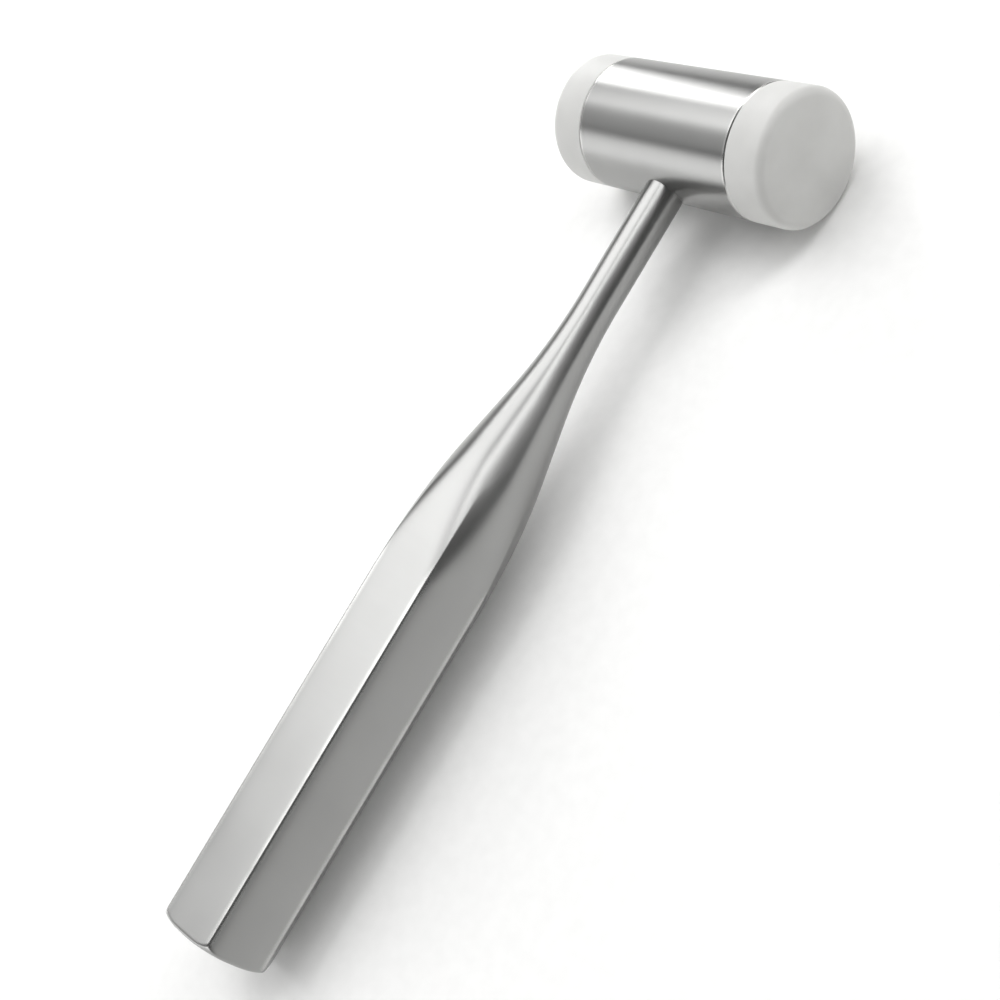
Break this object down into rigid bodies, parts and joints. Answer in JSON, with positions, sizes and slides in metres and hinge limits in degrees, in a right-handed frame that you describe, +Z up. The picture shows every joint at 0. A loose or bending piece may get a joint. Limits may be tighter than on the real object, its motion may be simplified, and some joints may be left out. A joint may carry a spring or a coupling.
{
  "type": "surgical mallet",
  "caption": "Small surgical mallet: cylindrical steel head with screw-in nylon caps and a hexagonal grip on a round neck.",
  "frame": {"origin": "middle of the whole mallet's footprint, on the plane it lies on", "axes": "+X along the head, +Y from the grip's end to the head, +Z up as it lies on its side"},
  "size_m": [0.0586, 0.187, 0.0254],
  "materials": {
    "satin_steel": "satin stainless steel",
    "thread_steel": "turned stainless steel",
    "nylon": "turned white nylon, slightly translucent"
  },
  "bodies": {
    "mallet": {"head_body": "satin_steel", "handle": "satin_steel", "handle_pin": "thread_steel", "grip_plug": "satin_steel"},
    "right_stud": {"stud_right": "thread_steel"},
    "right_cap": {"cap_right": "nylon"},
    "left_stud": {"stud_left": "thread_steel"},
    "left_cap": {"cap_left": "nylon"}
  },
  "joints": [
    {"name": "right_cap_travel", "type": "slide", "parent": "mallet", "child": "right_stud", "axis": [1, 0, 0], "range_m": [0, 0.0075]},
    {"name": "right_cap_turn", "type": "hinge", "parent": "right_stud", "child": "right_cap", "pos_m": [0.01988, 0.0808, 0.0127], "axis": [1, 0, 0], "range_deg": [0, 2160]},
    {"name": "left_cap_travel", "type": "slide", "parent": "mallet", "child": "left_stud", "axis": [-1, 0, 0], "range_m": [0, 0.0075]},
    {"name": "left_cap_turn", "type": "hinge", "parent": "left_stud", "child": "left_cap", "pos_m": [-0.01988, 0.0808, 0.0127], "axis": [-1, 0, 0], "range_deg": [0, 2160]}
  ],
  "couplings": [
    {"joint": "right_cap_travel", "follows": "right_cap_turn", "m_per_rad": 0.00019894},
    {"joint": "left_cap_travel", "follows": "left_cap_turn", "m_per_rad": 0.00019894}
  ]
}
